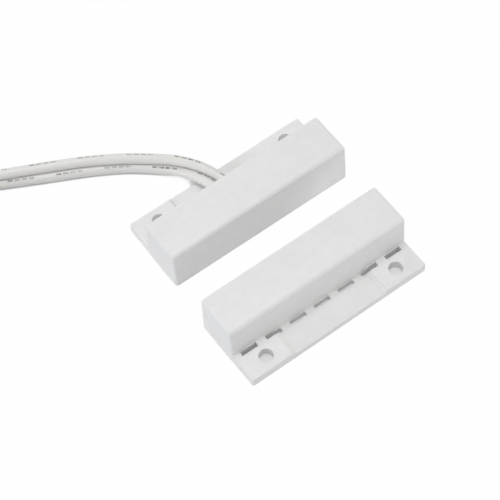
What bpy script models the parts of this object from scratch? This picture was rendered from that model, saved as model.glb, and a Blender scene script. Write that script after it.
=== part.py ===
# Magnetic door contact: a wired reed-switch half and a magnet half, side by side on a flat surface.
# Metres, +Z up. X runs along both halves, the switch half is at +Y, the magnet half at -Y.
# The origin is below the middle of the two halves, on the surface they rest on.

import math

import bmesh
import bpy
from mathutils import Matrix, Vector

MM = 0.001

# The pair
HALF_SPACING = 12.3 * MM  # air gap between the two facing walls
HALF_SLIP = 1.15 * MM  # how far the switch half lies along +X from the magnet half

# Moulding, the same on both halves
HOUSING_LENGTH = 50.8 * MM
BODY_WIDTH = 12.0 * MM
BODY_HEIGHT = 12.8 * MM
WALL = 1.4 * MM
ROOF = 1.5 * MM
DRAFT = 0.2 * MM  # how far each wall leans in from foot to top
BODY_EDGE_RADIUS = 1.1 * MM  # around the top
BODY_CORNER_RADIUS = 0.7 * MM  # up the four corners
FLANGE_REACH = 7.9 * MM
FLANGE_END_STEP = 0.1 * MM  # the flange stops this much short of each end wall
FLANGE_CORNER_RADIUS = 0.6 * MM
FLANGE_EDGE_RADIUS = 0.5 * MM
PAD_HEIGHT = 2.5 * MM
PAD_LENGTH = 12.8 * MM
PAD_RAMP = 1.2 * MM  # run of the sloped step at each pad's inner end
WEB_DROP_AT_WALL = 1.0 * MM  # how far the web between the pads lies below their tops
WEB_DROP_AT_EDGE = 0.6 * MM
SCREW_HOLE_RADIUS = 1.8 * MM
SCREW_FROM_END = 6.5 * MM
SCREW_FROM_EDGE = 3.55 * MM
SLOT_COUNT = 7
SLOT_BRIDGE = 2.5 * MM  # plastic left between two break-off slots
SLOT_END_MARGIN = 2.15 * MM
SLOT_WIDTH = 1.15 * MM
SLOT_FROM_WALL = 0.1 * MM

# Base covers
COVER_THICKNESS = 1.2 * MM
COVER_LEDGE = 0.6 * MM  # width of the step that the cover rests against
COVER_CORNER_RADIUS = 0.6 * MM
CLEARANCE = 0.3 * MM  # between pieces that touch

# Reed switch
REED_BELOW_ROOF = 3.3 * MM  # from the roof's underside to the reed's axis
REED_FROM_WALL = 0.8 * MM  # between the glass and the wall that faces the magnet
GLASS_LENGTH = 14.0 * MM
GLASS_RADIUS = 1.4 * MM
GLASS_BORE = 1.05 * MM
LEAD_RADIUS = 0.28 * MM
LEAD_SEAL = 1.8 * MM  # length of solid glass at each end
BLADE_HALF_WIDTH = 0.65 * MM
BLADE_HALF_THICKNESS = 0.12 * MM
BLADE_OFFSET = 0.27 * MM
BLADE_OVERLAP = 0.9 * MM
BLADE_TAPER = 1.0 * MM  # length over which a blade turns into its round lead
LEAD_REACH = 6.0 * MM  # how far a lead swings out past the glass before it turns back
SADDLE_THICKNESS = 1.2 * MM
SADDLE_FROM_GLASS_END = 2.0 * MM
SADDLE_DEPTH = 0.6 * MM  # how far a saddle reaches below the reed's axis
POST_SIZE = 1.6 * MM
POST_SPACING = 8.0 * MM

# Wires and their joints
WIRE_RADIUS = 1.3 * MM
EXIT_SPREAD = 0.3 * MM  # how much further apart the wires are in the wall than beyond it
WIRE_HOLE_PLAY = 0.6 * MM  # extra width of the hole, for wires that lean to one side
WIRE_END = 7.4 * MM  # where each wire's insulation ends inside the body, from its middle
SOLDER_LENGTH = 1.7 * MM
SOLDER_RADIUS = 0.8 * MM
SLEEVE_LENGTH = 4.6 * MM
SLEEVE_WALL = 0.3 * MM
GLUE_DEPTH = 1.8 * MM
GLUE_BESIDE = 1.3 * MM  # glue past the outer side of each wire
GLUE_ABOVE = 0.7 * MM
GLUE_EDGE = 0.6 * MM

# Magnet
MAGNET_LENGTH = 30.0 * MM
MAGNET_WIDTH = 6.0 * MM
MAGNET_BELOW_ROOF = 1.3 * MM
MAGNET_FROM_WALL = 0.6 * MM  # between the magnet and the wall that faces the switch
MAGNET_EDGE = 0.3 * MM
MAGNET_SADDLE_GRIP = 2.0 * MM  # how far a saddle reaches down beside the magnet
FOAM_LENGTH = 26.0 * MM
FOAM_WIDTH = 4.0 * MM
FOAM_THICKNESS = 1.0 * MM
FOAM_CORNER = 0.8 * MM
FOAM_REST_HEIGHT = 1.2 * MM

# Coil of the length that lies beyond the picture
COIL_OUTER_TURN = 16.8 * MM  # radius of the outermost turn's centre line
COIL_TURNS = 2.5
COIL_LIFT = 0.75 * MM  # room for the tie under the coil
TIE_THICKNESS = 0.4 * MM
TIE_WIDTH = 2.5 * MM
TIE_HEAD = (3.2 * MM, 3.9 * MM, 1.8 * MM)
TIE_ANGLE = math.radians(140)
TIP_RADIUS = 0.45 * MM
TIP_INSET = 0.6 * MM  # between the bare end and the coil's inner side
TIP_START = math.radians(246)
TIP_SWEEP = math.radians(56)

# The two wires outside, as one pair. Each row holds x of the pair's middle and its distance
# from the flange-side wall, both in millimetres, then its roll in degrees (0 is side by
# side, 90 is one above the other), and three shares: of the spread in the wall, of the
# height at which the wires leave the wall, and of the height at which they join the coil.
PAIR_ROUTE = [
    (-0.5, 0.1, 0, 1.0, 1.0, 0.0),
    (-2.0, 4.1, 0, 0.7, 1.0, 0.0),
    (-3.1, 6.95, 8, 0.3, 1.04, 0.0),
    (-4.8, 10.5, 20, 0.0, 0.86, 0.0),
    (-7.2, 14.4, 34, 0.0, 0.5, 0.0),
    (-10.1, 17.7, 44, 0.0, 0.23, 0.0),
    (-14.4, 21.5, 50, 0.0, 0.09, 0.0),
    (-17.8, 24.0, 48, 0.0, 0.06, 0.0),
    (-22.6, 27.1, 38, 0.0, 0.05, 0.0),
    (-27.0, 29.6, 32, 0.0, 0.035, 0.0),
    (-34.5, 33.45, 42, 0.0, 0.02, 0.1),
    (-42.0, 37.2, 62, 0.0, 0.0, 0.35),
    (-49.0, 40.6, 80, 0.0, 0.0, 0.7),
    (-55.1, 43.75, 90, 0.0, 0.0, 1.0),
]

SWITCH_MIDDLE = (HALF_SLIP / 2, (HALF_SPACING + BODY_WIDTH) / 2, 0)
MAGNET_MIDDLE = (-HALF_SLIP / 2, -(HALF_SPACING + BODY_WIDTH) / 2, 0)
CAVITY_LENGTH = HOUSING_LENGTH - 2 * WALL
CAVITY_WIDTH = BODY_WIDTH - 2 * WALL
CAVITY_TOP = BODY_HEIGHT - ROOF
COVER_LENGTH = CAVITY_LENGTH + 2 * COVER_LEDGE - 2 * CLEARANCE
COVER_WIDTH = CAVITY_WIDTH + 2 * COVER_LEDGE - 2 * CLEARANCE
WIRE_PITCH = 2 * WIRE_RADIUS + CLEARANCE  # between the centre lines of two wires that touch
EXIT_PITCH = WIRE_PITCH + EXIT_SPREAD
EXIT_HEIGHT = PAD_HEIGHT + WIRE_RADIUS  # the wires leave level with the pads
REED_HEIGHT = CAVITY_TOP - REED_BELOW_ROOF
REED_Y = REED_FROM_WALL + GLASS_RADIUS + DRAFT - CAVITY_WIDTH / 2
SPLICE_Y = REED_Y + GLASS_RADIUS + CLEARANCE + WIRE_RADIUS  # the joints pass behind the glass
WIRE_BEND = CAVITY_WIDTH / 2 - CLEARANCE - SPLICE_Y  # radius of each wire's turn in the body
MAGNET_Y = MAGNET_FROM_WALL + MAGNET_WIDTH / 2 + DRAFT - CAVITY_WIDTH / 2
MAGNET_LIFT = COVER_THICKNESS + FOAM_REST_HEIGHT + FOAM_THICKNESS + 2 * CLEARANCE
MAGNET_HEIGHT = CAVITY_TOP - MAGNET_BELOW_ROOF - MAGNET_LIFT
COIL_OUTER = COIL_OUTER_TURN + WIRE_RADIUS
COIL_INNER = COIL_OUTER_TURN - COIL_TURNS * WIRE_PITCH - WIRE_RADIUS
TIP_TURN = COIL_INNER - TIP_INSET - TIP_RADIUS
BITE = 0.3 * MM  # how far joined shapes run into each other
OVERSHOOT = 1.0 * MM  # how far a cutter runs past the face it opens


# Scene and small helpers


def clear_scene():
    for old in list(bpy.data.objects):
        bpy.data.objects.remove(old, do_unlink=True)


def make_collection(name):
    collection = bpy.data.collections.new(name)
    bpy.context.scene.collection.children.link(collection)
    return collection


def make_material(name, color, roughness, metallic=0.0, transmission=0.0):
    material = bpy.data.materials.new(name)
    material.use_nodes = True
    shader = material.node_tree.nodes["Principled BSDF"]
    shader.inputs["Base Color"].default_value = (*color, 1.0)
    shader.inputs["Roughness"].default_value = roughness
    shader.inputs["Metallic"].default_value = metallic
    shader.inputs["Transmission Weight"].default_value = transmission
    return material


def object_from(bm, name, parent, location=(0, 0, 0), collection=None):
    bmesh.ops.recalc_face_normals(bm, faces=bm.faces)
    mesh = bpy.data.meshes.new(name)
    bm.to_mesh(mesh)
    bm.free()
    made = bpy.data.objects.new(name, mesh)
    (collection or PARTS).objects.link(made)
    made.parent = parent
    made.location = location
    return made


def finish(part, material, smooth=True):
    part.data.materials.append(material)
    if smooth and part.type == "MESH":
        part.data.shade_smooth()
        part.data.set_sharp_from_angle(angle=math.radians(35))
    return part


def as_helper(tool):
    for collection in list(tool.users_collection):
        collection.objects.unlink(tool)
    HELPERS.objects.link(tool)
    tool.hide_render = True
    tool.display_type = "WIRE"
    return tool


def combine(part, tool, operation):
    as_helper(tool)
    modifier = part.modifiers.new(f"{operation.lower()} {tool.name}", "BOOLEAN")
    modifier.operation = operation
    modifier.object = tool
    modifier.solver = "EXACT"


def cut(part, tool):
    combine(part, tool, "DIFFERENCE")


def join(part, tool):
    combine(part, tool, "UNION")


def box_bmesh(size, centre=(0, 0, 0)):
    bm = bmesh.new()
    add_box(bm, size, centre)
    return bm


def add_box(bm, size, centre):
    placed = Matrix.Translation(centre) @ Matrix.Diagonal((*size, 1))
    bmesh.ops.create_cube(bm, size=1, matrix=placed)


def add_cylinder(bm, radius, depth, centre):
    bmesh.ops.create_cone(
        bm,
        cap_ends=True,
        segments=28,
        radius1=radius,
        radius2=radius,
        depth=depth,
        matrix=Matrix.Translation(centre),
    )


def bevel_where(bm, chosen, radius, segments=3):
    edges = [edge for edge in bm.edges if chosen(edge)]
    bmesh.ops.bevel(bm, geom=edges, offset=radius, segments=segments, profile=0.5, affect="EDGES")


def is_upright(edge):
    a, b = (vert.co for vert in edge.verts)
    return abs(a.z - b.z) > 0.9 * (Vector(a) - Vector(b)).length


def flat_part(name, outline, thickness, parent, x):
    # A plate square to X, from its (y, z) outline.
    curve = bpy.data.curves.new(name, "CURVE")
    curve.dimensions = "2D"
    curve.fill_mode = "BOTH"
    curve.extrude = thickness / 2
    spline = curve.splines.new("POLY")
    spline.points.add(len(outline) - 1)
    for point, place in zip(spline.points, outline):
        point.co = (*place, 0, 1)
    spline.use_cyclic_u = True
    made = bpy.data.objects.new(name, curve)
    PARTS.objects.link(made)
    made.parent = parent
    made.location = (x, 0, 0)
    made.rotation_euler = (math.radians(90), 0, math.radians(90))
    return mesh_of(made)


def arc(centre, radius, start, end, steps):
    # Points of an arc, angles in degrees.
    points = []
    for step in range(steps + 1):
        angle = math.radians(start + (end - start) * step / steps)
        points.append((centre[0] + radius * math.cos(angle), centre[1] + radius * math.sin(angle)))
    return points


def turned_part(name, profile, parent, location, steps, along="Z"):
    # profile: (radius, height) points of a closed outline, down the outer side first
    bm = bmesh.new()
    ring = [bm.verts.new((radius, 0, height)) for radius, height in profile]
    for first, second in zip(ring, ring[1:] + ring[:1]):
        bm.edges.new((first, second))
    mesh = bpy.data.meshes.new(name)
    bm.to_mesh(mesh)
    bm.free()
    made = bpy.data.objects.new(name, mesh)
    PARTS.objects.link(made)
    made.parent = parent
    made.location = location
    if along == "X":
        made.rotation_euler = (0, math.radians(90), 0)
    screw = made.modifiers.new("turn", "SCREW")
    screw.steps = screw.render_steps = steps
    screw.use_merge_vertices = True
    screw.merge_threshold = 0.00001
    return made


def tube(name, points, radius, parent, resolution=2):
    curve = bpy.data.curves.new(name, "CURVE")
    curve.dimensions = "3D"
    curve.bevel_depth = radius
    curve.bevel_resolution = resolution
    curve.use_fill_caps = True
    spline = curve.splines.new("POLY")
    spline.points.add(len(points) - 1)
    for point, place in zip(spline.points, points):
        point.co = (*place, 1)
    made = bpy.data.objects.new(name, curve)
    PARTS.objects.link(made)
    made.parent = parent
    return made


def mesh_of(curve_object):
    # Replaces a curve by its mesh, with the loose caps welded on.
    graph = bpy.context.evaluated_depsgraph_get()
    mesh = bpy.data.meshes.new_from_object(curve_object.evaluated_get(graph))
    bm = bmesh.new()
    bm.from_mesh(mesh)
    bmesh.ops.remove_doubles(bm, verts=bm.verts, dist=0.00001)
    bmesh.ops.recalc_face_normals(bm, faces=bm.faces)
    bm.to_mesh(mesh)
    bm.free()
    made = bpy.data.objects.new(curve_object.name + "_mesh", mesh)
    PARTS.objects.link(made)
    made.parent = curve_object.parent
    made.matrix_local = curve_object.matrix_local.copy()
    bpy.data.objects.remove(curve_object, do_unlink=True)
    return made


def smooth_path(points, spacing):
    # A Catmull-Rom curve through the points, read off at even steps.
    points = [Vector(point) for point in points]
    ends = [2 * points[0] - points[1]] + points + [2 * points[-1] - points[-2]]
    fine = []
    for before, start, end, after in zip(ends, ends[1:], ends[2:], ends[3:]):
        for step in range(24):
            t = step / 24
            fine.append(
                0.5
                * (
                    2 * start
                    + (end - before) * t
                    + (2 * before - 5 * start + 4 * end - after) * t**2
                    + (3 * start - before - 3 * end + after) * t**3
                )
            )
    fine.append(points[-1])
    lengths = [0.0]
    for first, second in zip(fine, fine[1:]):
        lengths.append(lengths[-1] + (second - first).length)
    count = max(2, round(lengths[-1] / spacing))
    read, index = [], 0
    for step in range(count + 1):
        wanted = lengths[-1] * step / count
        while index < len(fine) - 2 and lengths[index + 1] < wanted:
            index += 1
        share = (wanted - lengths[index]) / (lengths[index + 1] - lengths[index])
        read.append(fine[index].lerp(fine[index + 1], min(1.0, share)))
    return read


# The moulding


def tapered_block(length, width, height):
    # A block of that size at z = 0 whose four walls lean in, and which runs on below.
    bm = box_bmesh((length, width, height + 2 * OVERSHOOT), (0, 0, height / 2 - OVERSHOOT))
    for vert in bm.verts:
        lean = DRAFT * vert.co.z / BODY_HEIGHT
        vert.co.x -= lean * math.copysign(1, vert.co.x)
        vert.co.y -= lean * math.copysign(1, vert.co.y)
    return bm


def round_body(block):
    # The rim of the top gets the full radius, the four corners a smaller one.
    weights = block.data.attributes.new("bevel_weight_edge", "FLOAT", "EDGE")
    for edge in block.data.edges:
        heights = [block.data.vertices[index].co.z for index in edge.vertices]
        if min(heights) > 0:
            weights.data[edge.index].value = 1
        elif max(heights) > 0:
            weights.data[edge.index].value = BODY_CORNER_RADIUS / BODY_EDGE_RADIUS
    bevel = block.modifiers.new("round_edges", "BEVEL")
    bevel.limit_method = "WEIGHT"
    bevel.width = BODY_EDGE_RADIUS
    bevel.segments = 5


def underside_cutter(parent):
    size = (HOUSING_LENGTH + 2 * OVERSHOOT, 4 * BODY_WIDTH, 4 * OVERSHOOT)
    return object_from(box_bmesh(size, (0, 0, -size[2] / 2)), "underside_cutter", parent)


def flange_plate(parent):
    length = HOUSING_LENGTH - 2 * FLANGE_END_STEP
    start, end = BODY_WIDTH / 2 - WALL / 2, BODY_WIDTH / 2 + FLANGE_REACH
    height = PAD_HEIGHT + OVERSHOOT
    bm = box_bmesh((length, end - start, height), (0, (start + end) / 2, PAD_HEIGHT - height / 2))

    def is_outer_corner(edge):
        return is_upright(edge) and edge.verts[0].co.y > (start + end) / 2

    bevel_where(bm, is_outer_corner, FLANGE_CORNER_RADIUS, segments=5)

    def is_upper_rim(edge):
        on_top = all(abs(vert.co.z - PAD_HEIGHT) < 0.01 * MM for vert in edge.verts)
        return on_top and any(vert.co.y > start + 0.01 * MM for vert in edge.verts)

    bevel_where(bm, is_upper_rim, FLANGE_EDGE_RADIUS, segments=2)
    plate = object_from(bm, "flange_plate", parent)
    cut(plate, web_cutter(parent, start, end))
    return plate


def web_cutter(parent, start, end):
    # What is taken out between the pads: its underside slopes down towards the wall,
    # and its two ends open out upwards.
    far = end + OVERSHOOT
    slope = (WEB_DROP_AT_WALL - WEB_DROP_AT_EDGE) / FLANGE_REACH
    top = PAD_HEIGHT + OVERSHOOT
    bm = box_bmesh((1, 1, 1))
    for vert in bm.verts:
        outer, upper = vert.co.y > 0, vert.co.z > 0
        y = far if outer else start - OVERSHOOT
        low = PAD_HEIGHT - WEB_DROP_AT_WALL + slope * (y - BODY_WIDTH / 2)
        z = top if upper else low
        opened = PAD_RAMP * (1 + (z - PAD_HEIGHT) / WEB_DROP_AT_WALL)
        half = HOUSING_LENGTH / 2 - PAD_LENGTH + opened
        vert.co = (math.copysign(half, vert.co.x), y, z)
    return object_from(bm, "web_cutter", parent)


def slot_cutter(parent):
    bridges = (SLOT_COUNT - 1) * SLOT_BRIDGE
    slot_length = (HOUSING_LENGTH - 2 * SLOT_END_MARGIN - bridges) / SLOT_COUNT
    bm = bmesh.new()
    y = BODY_WIDTH / 2 + SLOT_FROM_WALL + SLOT_WIDTH / 2
    for index in range(SLOT_COUNT):
        x = (index - (SLOT_COUNT - 1) / 2) * (slot_length + SLOT_BRIDGE)
        add_box(bm, (slot_length, SLOT_WIDTH, 2 * PAD_HEIGHT + 2 * OVERSHOOT), (x, y, 0))
    return object_from(bm, "slot_cutter", parent)


def screw_hole_cutter(parent):
    bm = bmesh.new()
    y = BODY_WIDTH / 2 + FLANGE_REACH - SCREW_FROM_EDGE
    for side in (-1, 1):
        x = side * (HOUSING_LENGTH / 2 - SCREW_FROM_END)
        add_cylinder(bm, SCREW_HOLE_RADIUS, 2 * PAD_HEIGHT + 2 * OVERSHOOT, (x, y, 0))
    return object_from(bm, "screw_hole_cutter", parent)


def cavity_cutter(parent):
    bm = tapered_block(CAVITY_LENGTH, CAVITY_WIDTH, CAVITY_TOP)
    return object_from(bm, "cavity_cutter", parent)


def cover_seat_cutter(parent):
    depth = COVER_THICKNESS + CLEARANCE + OVERSHOOT
    length = CAVITY_LENGTH + 2 * COVER_LEDGE
    width = CAVITY_WIDTH + 2 * COVER_LEDGE
    bm = box_bmesh((length, width, depth), (0, 0, depth / 2 - OVERSHOOT))
    bevel_where(bm, is_upright, COVER_CORNER_RADIUS)
    return object_from(bm, "cover_seat_cutter", parent)


def make_housing(name, parent, saddles, wire_hole=None):
    housing = object_from(tapered_block(HOUSING_LENGTH, BODY_WIDTH, BODY_HEIGHT), name, parent)
    round_body(housing)
    join(housing, flange_plate(parent))
    cut(housing, underside_cutter(parent))
    cut(housing, cavity_cutter(parent))
    cut(housing, cover_seat_cutter(parent))
    cut(housing, slot_cutter(parent))
    cut(housing, screw_hole_cutter(parent))
    if wire_hole:
        cut(housing, wire_hole)
    for saddle in saddles:
        join(housing, saddle)
    return finish(housing, MATERIALS["abs"])


def make_saddle(name, parent, x, bottom, notch):
    # A rib that hangs from the roof across the whole cavity, with a notch in its lower edge.
    top = CAVITY_TOP + BITE
    half = CAVITY_WIDTH / 2 - DRAFT + BITE
    outline = [(-half, bottom), *notch, (half, bottom), (half, top), (-half, top)]
    return flat_part(name, outline, SADDLE_THICKNESS, parent, x)


def make_cover(name, parent, supports):
    bm = box_bmesh((COVER_LENGTH, COVER_WIDTH, COVER_THICKNESS), (0, 0, COVER_THICKNESS / 2))
    bevel_where(bm, is_upright, COVER_CORNER_RADIUS)
    cover = object_from(bm, name, parent)
    for support in supports:
        join(cover, support)
    return finish(cover, MATERIALS["abs"])


# The switch half


def reed_saddle(parent, side):
    x = side * (GLASS_LENGTH / 2 - SADDLE_FROM_GLASS_END)
    bottom = REED_HEIGHT - SADDLE_DEPTH
    room = GLASS_RADIUS + CLEARANCE
    arch = arc((REED_Y, REED_HEIGHT), room, 180, 0, 10)
    notch = [(REED_Y - room, bottom), *arch, (REED_Y + room, bottom)]
    return make_saddle(f"reed_saddle_{side}", parent, x, bottom, notch)


def wire_hole_cutter(parent):
    # An obround through the flange-side wall, around both wires.
    radius = WIRE_RADIUS + CLEARANCE
    depth = WALL + 2 * OVERSHOOT
    bm = box_bmesh((EXIT_PITCH + 2 * radius + WIRE_HOLE_PLAY, 2 * radius, depth))
    bevel_where(bm, is_upright, 0.98 * radius, segments=6)
    cutter = object_from(bm, "wire_hole_cutter", parent)
    cutter.location = (-WIRE_HOLE_PLAY / 2, BODY_WIDTH / 2 - WALL / 2, EXIT_HEIGHT)
    cutter.rotation_euler = (math.radians(90), 0, 0)
    return cutter


def cover_posts(parent):
    # Two posts from the cover, hollowed on top where the glass rests.
    foot = COVER_THICKNESS - BITE
    hollow = arc((REED_Y, REED_HEIGHT), GLASS_RADIUS + CLEARANCE, 215, 325, 8)
    outline = [(hollow[-1][0], foot), (hollow[0][0], foot), *hollow]
    posts = []
    for side in (-1, 1):
        x = side * POST_SPACING / 2
        posts.append(flat_part(f"reed_post_{side}", outline, POST_SIZE, parent, x))
    return posts


def make_reed_glass(parent):
    half, seal = GLASS_LENGTH / 2, GLASS_LENGTH / 2 - LEAD_SEAL
    hole = LEAD_RADIUS + CLEARANCE
    neck = (GLASS_RADIUS + hole) / 2
    shoulder = 0.6 * LEAD_SEAL
    outer = [(neck, half), (GLASS_RADIUS, half - shoulder)]
    outer += [(GLASS_RADIUS, -half + shoulder), (neck, -half)]
    inner = [(hole, -half), (hole, -seal), (GLASS_BORE, -seal + shoulder)]
    inner += [(GLASS_BORE, seal - shoulder), (hole, seal), (hole, half)]
    place = (0, REED_Y, REED_HEIGHT)
    glass = turned_part("reed_glass", outer + inner, parent, place, 20, along="X")
    return finish(glass, MATERIALS["glass"])


def make_reed_lead(name, parent, side):
    # Blade and lead as one wire: flattened inside the glass, round outside, then bent
    # down and back to its joint. side is -1 for the left-hand lead and 1 for the right.
    blade_root = GLASS_LENGTH / 2 - LEAD_SEAL - BLADE_TAPER / 2
    solder_end = WIRE_END + CLEARANCE + SOLDER_LENGTH + CLEARANCE
    reach = GLASS_LENGTH / 2 + LEAD_REACH
    drop = REED_HEIGHT - EXIT_HEIGHT
    swing = SPLICE_Y - REED_Y
    flat = (BLADE_HALF_WIDTH, BLADE_HALF_THICKNESS)
    round_section = (LEAD_RADIUS, LEAD_RADIUS)
    blade_z = REED_HEIGHT + side * BLADE_OFFSET
    stations = [
        ((-BLADE_OVERLAP, REED_Y, blade_z), flat),
        ((blade_root - BLADE_TAPER, REED_Y, blade_z), flat),
        ((blade_root, REED_Y, REED_HEIGHT), round_section),
    ]
    bend = smooth_path(
        [
            (GLASS_LENGTH / 2 + 0.5 * MM, REED_Y, REED_HEIGHT),
            (reach - 2.0 * MM, REED_Y, REED_HEIGHT - 0.1 * drop),
            (reach, REED_Y + 0.35 * swing, REED_HEIGHT - 0.5 * drop),
            (reach - 0.6 * MM, SPLICE_Y - 0.2 * swing, REED_HEIGHT - 0.9 * drop),
            (reach - 2.0 * MM, SPLICE_Y, EXIT_HEIGHT),
            (solder_end, SPLICE_Y, EXIT_HEIGHT),
        ],
        1.2 * MM,
    )
    stations += [(tuple(point), round_section) for point in bend]
    mirrored = [((side * x, y, z), section) for (x, y, z), section in stations]
    lead = object_from(lofted_wire(mirrored, 10), name, parent)
    return finish(lead, MATERIALS["nickel_iron"])


def lofted_wire(stations, sides):
    # A closed skin over oval sections set square to the path. Section: half width, half height.
    bm = bmesh.new()
    places = [Vector(place) for place, _ in stations]
    across = Vector((0, 1, 0))
    rings = []
    for index, (_, (half_width, half_height)) in enumerate(stations):
        before, after = places[max(index - 1, 0)], places[min(index + 1, len(places) - 1)]
        along = (after - before).normalized()
        across = (across - along * across.dot(along)).normalized()
        up = along.cross(across)
        ring = []
        for step in range(sides):
            angle = 2 * math.pi * step / sides
            offset = across * half_width * math.cos(angle) + up * half_height * math.sin(angle)
            ring.append(bm.verts.new(places[index] + offset))
        rings.append(ring)
    for first, second in zip(rings, rings[1:]):
        for a in range(sides):
            b = (a + 1) % sides
            bm.faces.new((first[a], first[b], second[b], second[a]))
    bm.faces.new(list(reversed(rings[0])))
    bm.faces.new(rings[-1])
    return bm


def make_solder_joint(name, parent, side):
    x = side * (WIRE_END + CLEARANCE + SOLDER_LENGTH / 2)
    bm = bmesh.new()
    bmesh.ops.create_uvsphere(bm, u_segments=14, v_segments=8, radius=SOLDER_RADIUS)
    bmesh.ops.scale(bm, vec=(SOLDER_LENGTH / 2 / SOLDER_RADIUS, 1, 1), verts=bm.verts)
    joint = object_from(bm, name, parent, (x, SPLICE_Y, EXIT_HEIGHT))
    return finish(joint, MATERIALS["solder"])


def make_joint_sleeve(name, parent, side):
    inner = WIRE_RADIUS + CLEARANCE
    outer = inner + SLEEVE_WALL
    half = SLEEVE_LENGTH / 2
    middle = WIRE_END + CLEARANCE + SOLDER_LENGTH / 2 + CLEARANCE
    profile = [(outer, half), (outer, -half), (inner, -half), (inner, half)]
    place = (side * middle, SPLICE_Y, EXIT_HEIGHT)
    sleeve = turned_part(name, profile, parent, place, 18, along="X")
    return finish(sleeve, MATERIALS["sleeve"])


def make_wire_anchor(parent, channels):
    # A bead of hot-melt just inside the wire hole, with both wires running through it.
    y = CAVITY_WIDTH / 2 - DRAFT - CLEARANCE - GLUE_DEPTH / 2
    z = EXIT_HEIGHT
    length = EXIT_PITCH + 2 * (WIRE_RADIUS + CLEARANCE + GLUE_BESIDE)
    height = 2 * (WIRE_RADIUS + CLEARANCE + GLUE_ABOVE)
    bm = box_bmesh((length, GLUE_DEPTH, height), (0, y, z))
    bevel_where(bm, lambda edge: True, GLUE_EDGE)
    anchor = object_from(bm, "wire_anchor_glue", parent)
    for index, points in enumerate(channels):
        channel = tube(f"glue_channel_{index}", points, WIRE_RADIUS + CLEARANCE, parent)
        cut(anchor, mesh_of(channel))
    between = box_bmesh((0.8 * EXIT_PITCH, GLUE_DEPTH + OVERSHOOT, 1.4 * WIRE_RADIUS), (0, y, z))
    cut(anchor, object_from(between, "glue_between_wires", parent))
    return finish(anchor, MATERIALS["hot_melt"])


def inner_route(side):
    # From the joint, a quarter turn to the wire hole.
    turn_x, turn_y = EXIT_PITCH / 2 + WIRE_BEND, SPLICE_Y + WIRE_BEND
    points = [(WIRE_END, SPLICE_Y), ((WIRE_END + turn_x) / 2, SPLICE_Y)]
    points += arc((turn_x, turn_y), WIRE_BEND, 270, 180, 3)
    return [Vector((side * x, y, EXIT_HEIGHT)) for x, y in points]


def wire_routes():
    # Centre-line points of the two wires, left-hand one first. The pair's offset is taken
    # across its heading and turned by its roll.
    middles = []
    for x, out, roll, _, wall_share, coil_share in PAIR_ROUTE:
        y = BODY_WIDTH / 2 + out * MM
        underside = wall_share * (EXIT_HEIGHT - WIRE_RADIUS) + coil_share * COIL_LIFT
        raised = math.sin(math.radians(roll)) * WIRE_PITCH / 2
        middles.append(Vector((x * MM, y, underside + WIRE_RADIUS + raised)))
    routes = []
    for side in (-1, 1):
        route = inner_route(side)
        for index, (_, _, roll, spread, _, _) in enumerate(PAIR_ROUTE):
            before = middles[max(index - 1, 0)]
            after = middles[min(index + 1, len(middles) - 1)]
            heading = (after - before).normalized()
            right = heading.cross(Vector((0, 0, 1))).normalized()
            turned = right * math.cos(math.radians(roll))
            turned.z += math.sin(math.radians(roll))
            apart = WIRE_PITCH + spread * EXIT_SPREAD
            route.append(middles[index] + turned * side * apart / 2)
        routes.append(route)
    return routes


def wire_points(route):
    # Close together through the tight turn inside the body, further apart outside it.
    points = smooth_path(route, WIRE_RADIUS)
    inside = [point for point in points if point.y < BODY_WIDTH / 2]
    outside = points[len(inside) :]
    return inside, outside[3:-1:4] + outside[-1:]


def make_wires(parent):
    channels = []
    for name, route in zip(("wire_a", "wire_b"), wire_routes()):
        inside, outside = wire_points(route)
        finish(tube(name, inside + outside, WIRE_RADIUS, parent), MATERIALS["pvc"])
        channels.append(inside + outside[:1])
    return channels


def layer_height(layer):
    return COIL_LIFT + WIRE_RADIUS + layer * WIRE_PITCH


def coil_place(height=0.0):
    # The coil lies to the left of the wires, which run on from the route's end into the
    # outermost turn. The route ends one clearance away from the coil.
    (x1, y1), (x2, y2) = [Vector(row[:2]) * MM for row in PAIR_ROUTE[-2:]]
    ahead = Vector((x2 - x1, y2 - y1)).normalized()
    left = Vector((-ahead.y, ahead.x))
    run = math.sqrt((COIL_OUTER + CLEARANCE) ** 2 - (COIL_OUTER_TURN - WIRE_RADIUS) ** 2)
    place = Vector((x2, y2 + BODY_WIDTH / 2)) + run * ahead + COIL_OUTER_TURN * left
    return Vector((*place, height))


def make_coil(name, parent, layer):
    # The outer shape of one wire's turns, which lie in a flat spiral on its own layer.
    outer, inner = COIL_OUTER, COIL_INNER
    edge = 0.5 * WIRE_RADIUS
    half = WIRE_RADIUS
    profile = [(inner + edge, half), (outer - edge, half), (outer, half - edge)]
    profile += [(outer, edge - half), (outer - edge, -half), (inner + edge, -half)]
    profile += [(inner, edge - half), (inner, half - edge)]
    coil = turned_part(name, profile, parent, coil_place(layer_height(layer)), 32)
    return finish(coil, MATERIALS["pvc"])


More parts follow.
